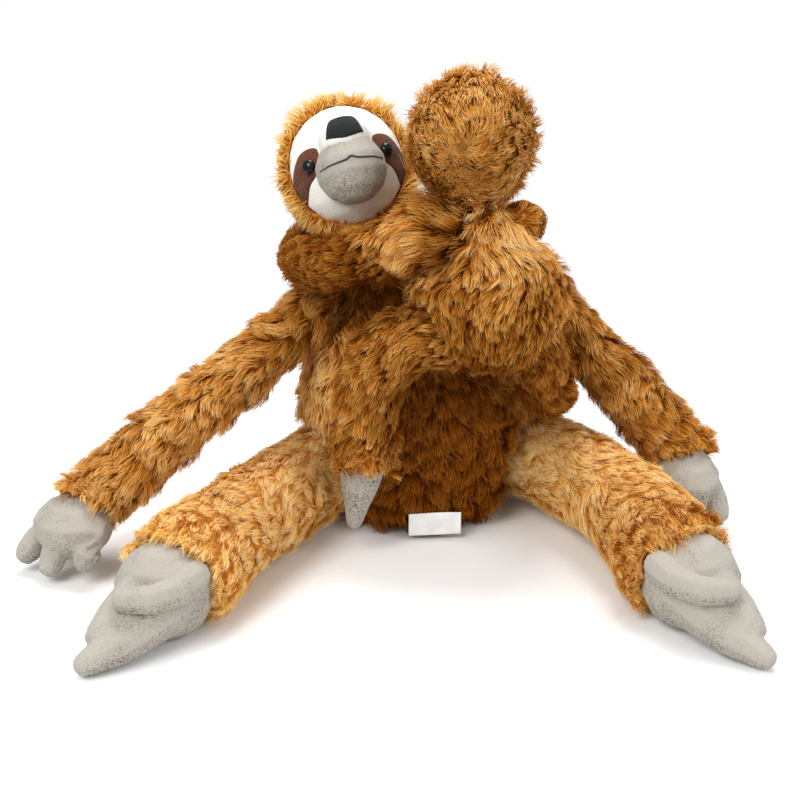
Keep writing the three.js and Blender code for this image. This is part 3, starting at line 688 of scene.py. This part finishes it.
# Each strand is a narrow ribbon, pulled to the middle of its tuft towards the tip
def growRibbons(settings, roots, up, flat, tufts, rng):
    count = len(roots)
    lay, side, lift, size, middle = (
        tufts[key][tufts["mine"]] for key in ("lay", "side", "lift", "size", "middle")
    )
    sway = rng.normal(0, strand["sway"], count)
    own = unit(lay * np.cos(sway)[:, None] + side * np.sin(sway)[:, None])
    own = unit(own - up * (own * up).sum(1, keepdims=True))
    ownLift = np.clip(lift + rng.normal(0, strand["liftSpread"], count), *strand["lifts"])
    ownLength = settings["pile"] * mm * rng.uniform(*strand["lengths"], count) * size
    pull = settings["pull"] * rng.uniform(*strand["pulls"], count)
    ownLift[flat], pull[flat] = strand["flatLift"], 0
    ownLength[flat] = np.minimum(ownLength[flat], strand["flatLength"] * mm)
    hairs = strandPaths(roots, up, own, ownLength, ownLift)
    hairs += (middle - hairs) * (pull[:, None] * alongStrand ** strand["pullPower"])[..., None]
    tangent = unit(np.gradient(hairs, axis=1))
    twist = rng.normal(0, strand["twist"], count)[:, None, None]
    facing = up[:, None] * np.cos(twist) + np.cross(up, own)[:, None] * np.sin(twist)
    across = unit(np.cross(tangent, facing))
    half = strand["width"] * mm / 2 * rng.uniform(*strand["widths"], count)[:, None]
    half = half * np.array(strand["shares"])
    ribbons = np.stack([hairs - across * half[..., None], hairs + across * half[..., None]], 2)
    ribbons[..., 2] = np.maximum(ribbons[..., 2], strand["floor"] * mm)
    return ribbons


# The map's x is the strand's tint and its y runs from root to tip
def mapRibbons(tufts, rng):
    mine = tufts["mine"]
    tint = tufts["tint"][mine] + rng.normal(0, tuft["tintSpread"], len(tufts["tint"]))[mine]
    tint = np.clip(tint + rng.normal(0, strand["tintSpread"], len(mine)), *strand["tints"])
    uv = np.empty((len(mine), len(alongStrand), 2, 2))
    uv[..., 0] = tint[:, None, None] + np.array([-0.004, 0.004])
    uv[..., 1] = (0.01 + 0.98 * alongStrand)[None, :, None]
    return uv


def growPile(node, settings, skin, others, pile, seed):
    rng = np.random.default_rng(seed)
    roots, up, outer, flat = pickRoots(skin, settings, others, rng)
    tufts = gatherTufts(node, settings, roots, up, flat, rng)
    ribbons = growRibbons(settings, roots, up, flat, tufts, rng)
    uv = mapRibbons(tufts, rng)
    groups = [np.arange(len(roots))]
    if settings["parts"] == 2:
        back = outer[:, 1] > np.median(outer[:, 1])
        groups = [np.nonzero(~back)[0], np.nonzero(back)[0]]
    for number, group in enumerate(groups):
        name = node + "_pile" + ("_back" if number else "")
        piece = stripMesh(name, ribbons[group], uv[group])
        piece.data.materials.append(pile)
        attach(piece, nodes[node]["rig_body"])
    return len(roots)


def stripMesh(name, ribbons, uv):
    count, steps = ribbons.shape[:2]
    mesh = bpy.data.meshes.new(name)
    mesh.vertices.add(count * steps * 2)
    mesh.vertices.foreach_set("co", ribbons.reshape(-1))
    first = np.arange(count)[:, None] * steps * 2 + np.arange(steps - 1)[None] * 2
    corners = (first[..., None] + np.array([0, 1, 3, 2])).reshape(-1).astype(np.int32)
    faces = count * (steps - 1)
    mesh.loops.add(faces * 4)
    mesh.loops.foreach_set("vertex_index", corners)
    mesh.polygons.add(faces)
    mesh.polygons.foreach_set("loop_start", np.arange(faces, dtype=np.int32) * 4)
    mesh.update(calc_edges=True)
    layer = mesh.uv_layers.new(name="OFBake")
    layer.data.foreach_set("uv", uv.reshape(-1, 2)[corners].reshape(-1))
    mesh.shade_smooth()
    return addPiece(name, mesh)


# Hands, feet, faces and muzzles of short plush
plushPieces = {
    "hand_left": {"voxel": 1.6, "rounds": 4, "look": "greyVelboa"},
    "hand_right": {"voxel": 1.6, "rounds": 4, "look": "greyVelboa"},
    "foot_left": {"voxel": 1.8, "rounds": 2, "look": "greyVelboa"},
    "foot_right": {"voxel": 1.8, "rounds": 2, "look": "greyVelboa"},
    "face": {"voxel": 2, "rounds": 6, "look": "whiteVelboa"},
    "muzzle": {"voxel": 1.8, "rounds": 5, "look": "greyVelboa"},
    "baby_hand_left": {"voxel": 1.6, "rounds": 4, "look": "greyVelboa"},
    "baby_hand_right": {"voxel": 1.6, "rounds": 4, "look": "greyVelboa"},
    "baby_foot_left": {"voxel": 1.8, "rounds": 5, "look": "greyVelboa"},
    "baby_foot_right": {"voxel": 1.8, "rounds": 5, "look": "greyVelboa"},
    "baby_face": {"voxel": 2, "rounds": 6, "look": "whiteVelboa"},
    "baby_muzzle": {"voxel": 1.7, "rounds": 5, "look": "greyVelboa"},
}


def makePlush(node, settings, looks):
    piece = softCopy(node, node + "_plush", settings["voxel"], settings["rounds"])
    piece.data.shade_smooth()
    piece.data.materials.append(looks[settings["look"]])
    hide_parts(node)
    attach(piece, nodes[node]["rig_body"])
    return piece


# Faces, in mm of the mother's head: outlines in the head's own x and z, laid on the plush from the
# front. "thick" is how far the middle stands proud, and felt's edge sinks in
eyeSizes = {
    "spread": 31, "drop": 1.5, "radius": 6, "dome": 4.2, "back": 1.8, "lift": 1.7, "sides": 48, "rings": 32,
}
patchSizes = {"size": 46, "centre": (38.5, -9), "corners": 72, "thick": 1}
noseSizes = {"width": 30, "height": 15, "rise": 10.5, "centre": (0, 17), "corners": 96, "thick": 1.6}
mouthSizes = {
    "width": 50, "drop": 11.35, "corners": 60, "thread": 0.75, "lift": 0.2, "ends": 0.45, "swell": 0.75,
}
felt = {"thick": 0.8, "sunk": 0.35, "rings": 12, "spacing": 1.5, "edge": 14}
faceHalves = (48.5, 46, 51)
faceRim = 0.95
faceStarts = {"far": 0.2, "near": 0.04}
patchOutline = [
    (0.47, 0.2), (0.62, 0.3), (0.82, 0.24), (0.98, -0.05), (1.02, -0.5), (0.93, -0.98), (0.84, -0.62),
    (0.73, -0.34), (0.56, -0.17),
]
noseOutline = [
    (-0.44, -0.02), (0, -0.2), (0.44, -0.02), (0.5, 0.1), (0.36, 0.86), (0.14, 1), (-0.14, 1),
    (-0.36, 0.86), (-0.5, 0.1),
]
mouthLine = [(-0.5, -0.02), (-0.28, -0.01), (-0.1, 0), (0, 0.04), (0.1, 0), (0.28, -0.01), (0.5, -0.02)]


# A smooth line through the corners
def roundedOutline(corners, count, closed=True):
    made = []
    total = len(corners)
    spans = total if closed else total - 1
    for i in range(count):
        place = spans * i / (count if closed else count - 1)
        k = min(int(place), spans - 1)
        s = place - k
        pick = [(k + j) % total if closed else min(max(k + j, 0), total - 1) for j in (-1, 0, 1, 2)]
        p0, p1, p2, p3 = (Vector(corners[j]) for j in pick)
        made.append(0.5 * (2 * p1 + (p2 - p0) * s + (2 * p0 - 5 * p1 + 4 * p2 - p3) * s * s
                           + (3 * p1 - p0 - 3 * p2 + p3) * s**3))
    return made


def laidOn(head, surface, x, z, lift):
    reach = math.hypot(x / faceHalves[0], z / faceHalves[2])
    if reach > faceRim:
        x, z = x * faceRim / reach, z * faceRim / reach
    start = head @ Vector((x * mm, -faceStarts["far"], z * mm))
    aim = (head.to_3x3() @ Vector((0, 1, 0))).normalized()
    place, normal = surface.ray_cast(start, aim)[:2]
    if place is None:
        start = head @ Vector((x * mm, -faceStarts["near"], z * mm))
        place, normal = surface.find_nearest(start)[:2]
    if normal.dot(aim) > 0:
        normal = -normal
    return place + normal * lift * mm


def layPatch(name, head, surface, outline, centre, thickness):
    sheet = bmesh.new()
    hub = sheet.verts.new(laidOn(head, surface, *centre, thickness))
    last = None
    for ring in range(1, felt["rings"] + 1):
        share = 1 - (1 - ring / felt["rings"]) ** felt["spacing"]
        edge = share ** felt["edge"]
        lift = thickness * (1 - edge) - felt["sunk"] * edge
        row = []
        for corner in outline:
            x, z = (middle + (end - middle) * share for middle, end in zip(centre, corner))
            row.append(sheet.verts.new(laidOn(head, surface, x, z, lift)))
        for i in range(len(row)):
            j = (i + 1) % len(row)
            if last is None:
                sheet.faces.new((hub, row[i], row[j]))
            else:
                sheet.faces.new((last[i], row[i], row[j], last[j]))
        last = row
    bmesh.ops.recalc_face_normals(sheet, faces=sheet.faces)
    sheet.normal_update()
    front = (head.to_3x3() @ Vector((0, -1, 0))).normalized()
    if sum((face.normal for face in sheet.faces), Vector()).dot(front) < 0:
        bmesh.ops.reverse_faces(sheet, faces=sheet.faces)
    piece = pieceFrom(name, sheet)
    addModifier(piece, "SOLIDIFY", thickness=felt["thick"] * mm, offset=-1)
    finishedMesh(piece)
    piece.data.shade_smooth()
    return piece


def makeEye(name, head, mirror):
    x, z = mirror * eyeSizes["spread"], -eyeSizes["drop"]
    a, b, c = faceHalves
    y = -b * math.sqrt(1 - (x / a) ** 2 - (z / c) ** 2)
    normal = Vector((x / a**2, y / b**2, z / c**2)).normalized()
    bead = bmesh.new()
    bmesh.ops.create_uvsphere(
        bead, u_segments=eyeSizes["sides"], v_segments=eyeSizes["rings"], radius=1
    )
    for vertex in bead.verts:
        co = vertex.co
        co.x *= eyeSizes["radius"] * mm
        co.y *= eyeSizes["radius"] * mm
        co.z *= (eyeSizes["dome"] if co.z > 0 else eyeSizes["back"]) * mm
    seat = head @ Matrix.Translation((Vector((x, y, z)) + normal * eyeSizes["lift"]) * mm)
    seat = seat @ normal.to_track_quat("Z", "Y").to_matrix().to_4x4()
    bmesh.ops.transform(bead, matrix=seat, verts=bead.verts)
    piece = pieceFrom(name, bead)
    piece.data.shade_smooth()
    return piece


# A stitched line, thicker in its middle than at its ends
def makeMouth(name, head, surface):
    curve = bpy.data.curves.new(name, "CURVE")
    curve.dimensions = "3D"
    curve.bevel_depth = mouthSizes["thread"] * mm
    curve.bevel_resolution = 3
    curve.use_fill_caps = True
    spline = curve.splines.new("POLY")
    line = roundedOutline(mouthLine, mouthSizes["corners"], closed=False)
    spline.points.add(len(line) - 1)
    for i, (point, corner) in enumerate(zip(spline.points, line)):
        x, z = corner * mouthSizes["width"]
        point.co = (*laidOn(head, surface, x, z - mouthSizes["drop"], mouthSizes["lift"]), 1)
        swell = math.sin(math.pi * (i + 1) / (len(line) + 1)) ** 0.5
        point.radius = mouthSizes["ends"] + mouthSizes["swell"] * swell
    thread = addPiece(name, curve)
    graph = bpy.context.evaluated_depsgraph_get()
    mesh = bpy.data.meshes.new_from_object(thread.evaluated_get(graph))
    bpy.data.objects.remove(thread)
    bpy.data.curves.remove(curve)
    mesh.materials.clear()
    mesh.shade_smooth()
    return addPiece(name, mesh)


def dress(piece, look, node):
    piece.data.materials.append(look)
    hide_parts(node)
    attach(piece, nodes[node]["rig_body"])


def makeFace(prefix, plush, looks):
    head = heads[prefix]
    faceMesh, muzzleMesh = (plush[prefix + part].data for part in ("face", "muzzle"))
    face, muzzle, both = treeOf([faceMesh]), treeOf([muzzleMesh]), treeOf([faceMesh, muzzleMesh])
    for side, mirror in (("left", -1), ("right", 1)):
        corners = [(x * patchSizes["size"] * mirror, z * patchSizes["size"]) for x, z in patchOutline]
        outline = roundedOutline(corners, patchSizes["corners"])
        across, rise = patchSizes["centre"]
        centre = (mirror * across, rise)
        name = f"{prefix}eye_patch_{side}"
        patch = layPatch(name + "_felt", head, face, outline, centre, patchSizes["thick"])
        dress(patch, looks["brownVelboa"], name)
        bead = makeEye(f"{prefix}eye_{side}_bead", head, mirror)
        dress(bead, looks["eyePlastic"], f"{prefix}eye_{side}")
    corners = [
        (x * noseSizes["width"], noseSizes["rise"] + z * noseSizes["height"]) for x, z in noseOutline
    ]
    outline = roundedOutline(corners, noseSizes["corners"])
    nose = layPatch(prefix + "nose_felt", head, both, outline, noseSizes["centre"], noseSizes["thick"])
    dress(nose, looks["blackVelboa"], prefix + "nose")
    mouth = makeMouth(prefix + "mouth_stitch", head, muzzle)
    dress(mouth, looks["blackThread"], prefix + "mouth")


# The care label, in mm: a wave along it, a twist, a tilt, and how far it hangs before its seam
labelSizes = {
    "grid": (44, 20), "wave": 1.4, "waves": 3.4, "phase": 0.7, "twist": 1.1, "twists": 4.5, "depth": 0.7,
    "tilt": 1.2, "off": 1.6, "thick": 0.4,
}


def makeLabel(looks):
    low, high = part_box("care_label")
    middle, size = (low + high) / 2, high - low
    across, up = labelSizes["grid"]
    sheet = bmesh.new()
    bmesh.ops.create_grid(sheet, x_segments=across, y_segments=up, size=0.5)
    for vertex in sheet.verts:
        u, v = vertex.co.x, vertex.co.y
        bend = labelSizes["wave"] * math.sin(labelSizes["waves"] * u + labelSizes["phase"])
        bend += labelSizes["twist"] * v * math.cos(labelSizes["twists"] * u)
        vertex.co = (
            middle.x + u * size.x,
            low.y + (bend * labelSizes["depth"] - labelSizes["off"]) * mm,
            middle.z + v * size.z + labelSizes["tilt"] * u * mm,
        )
    piece = pieceFrom("care_label_satin", sheet)
    addModifier(piece, "SOLIDIFY", thickness=labelSizes["thick"] * mm, offset=0)
    finishedMesh(piece)
    piece.data.shade_smooth()
    dress(piece, looks["labelSatin"], "care_label")


makeStage()
looks = {name: velboaMaterial(name, settings) for name, settings in velboas.items()}
looks.update({name: plainMaterial(name, settings) for name, settings in plainStuffs.items()})
print("materials made")

plush = {node: makePlush(node, settings, looks) for node, settings in plushPieces.items()}
print("short plush made:", len(plush), "pieces")
for prefix in heads:
    makeFace(prefix, plush, looks)
makeLabel(looks)
for name, node in nodes.items():
    if name.endswith("_pad"):
        node.data.materials[0] = looks["padNap"]
    if "washer" in name:
        node.data.materials[0] = looks["washerPlastic"]
print("faces and label made")

ground = {name: groundMaterial(name, tones) for name, tones in grounds.items()}
pile = pileMaterial()
for seed, (node, given) in enumerate(pelts.items(), 1):
    settings = {**peltDefaults, **given}
    skin = growSkin(node, settings, ground[settings["ground"]])
    body = nodes[node]["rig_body"]
    near = [
        name for name in nodes if name != node
        and (nodes[name]["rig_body"] != body or settings["nap"] == "face" or name == "care_label")
    ]
    others = treeOf([nodes[name].data for name in near])
    grown = growPile(node, settings, skin, others, pile, seed)
    print("pile grown on", node, grown, "strands,", len(skin.data.polygons), "ground faces")
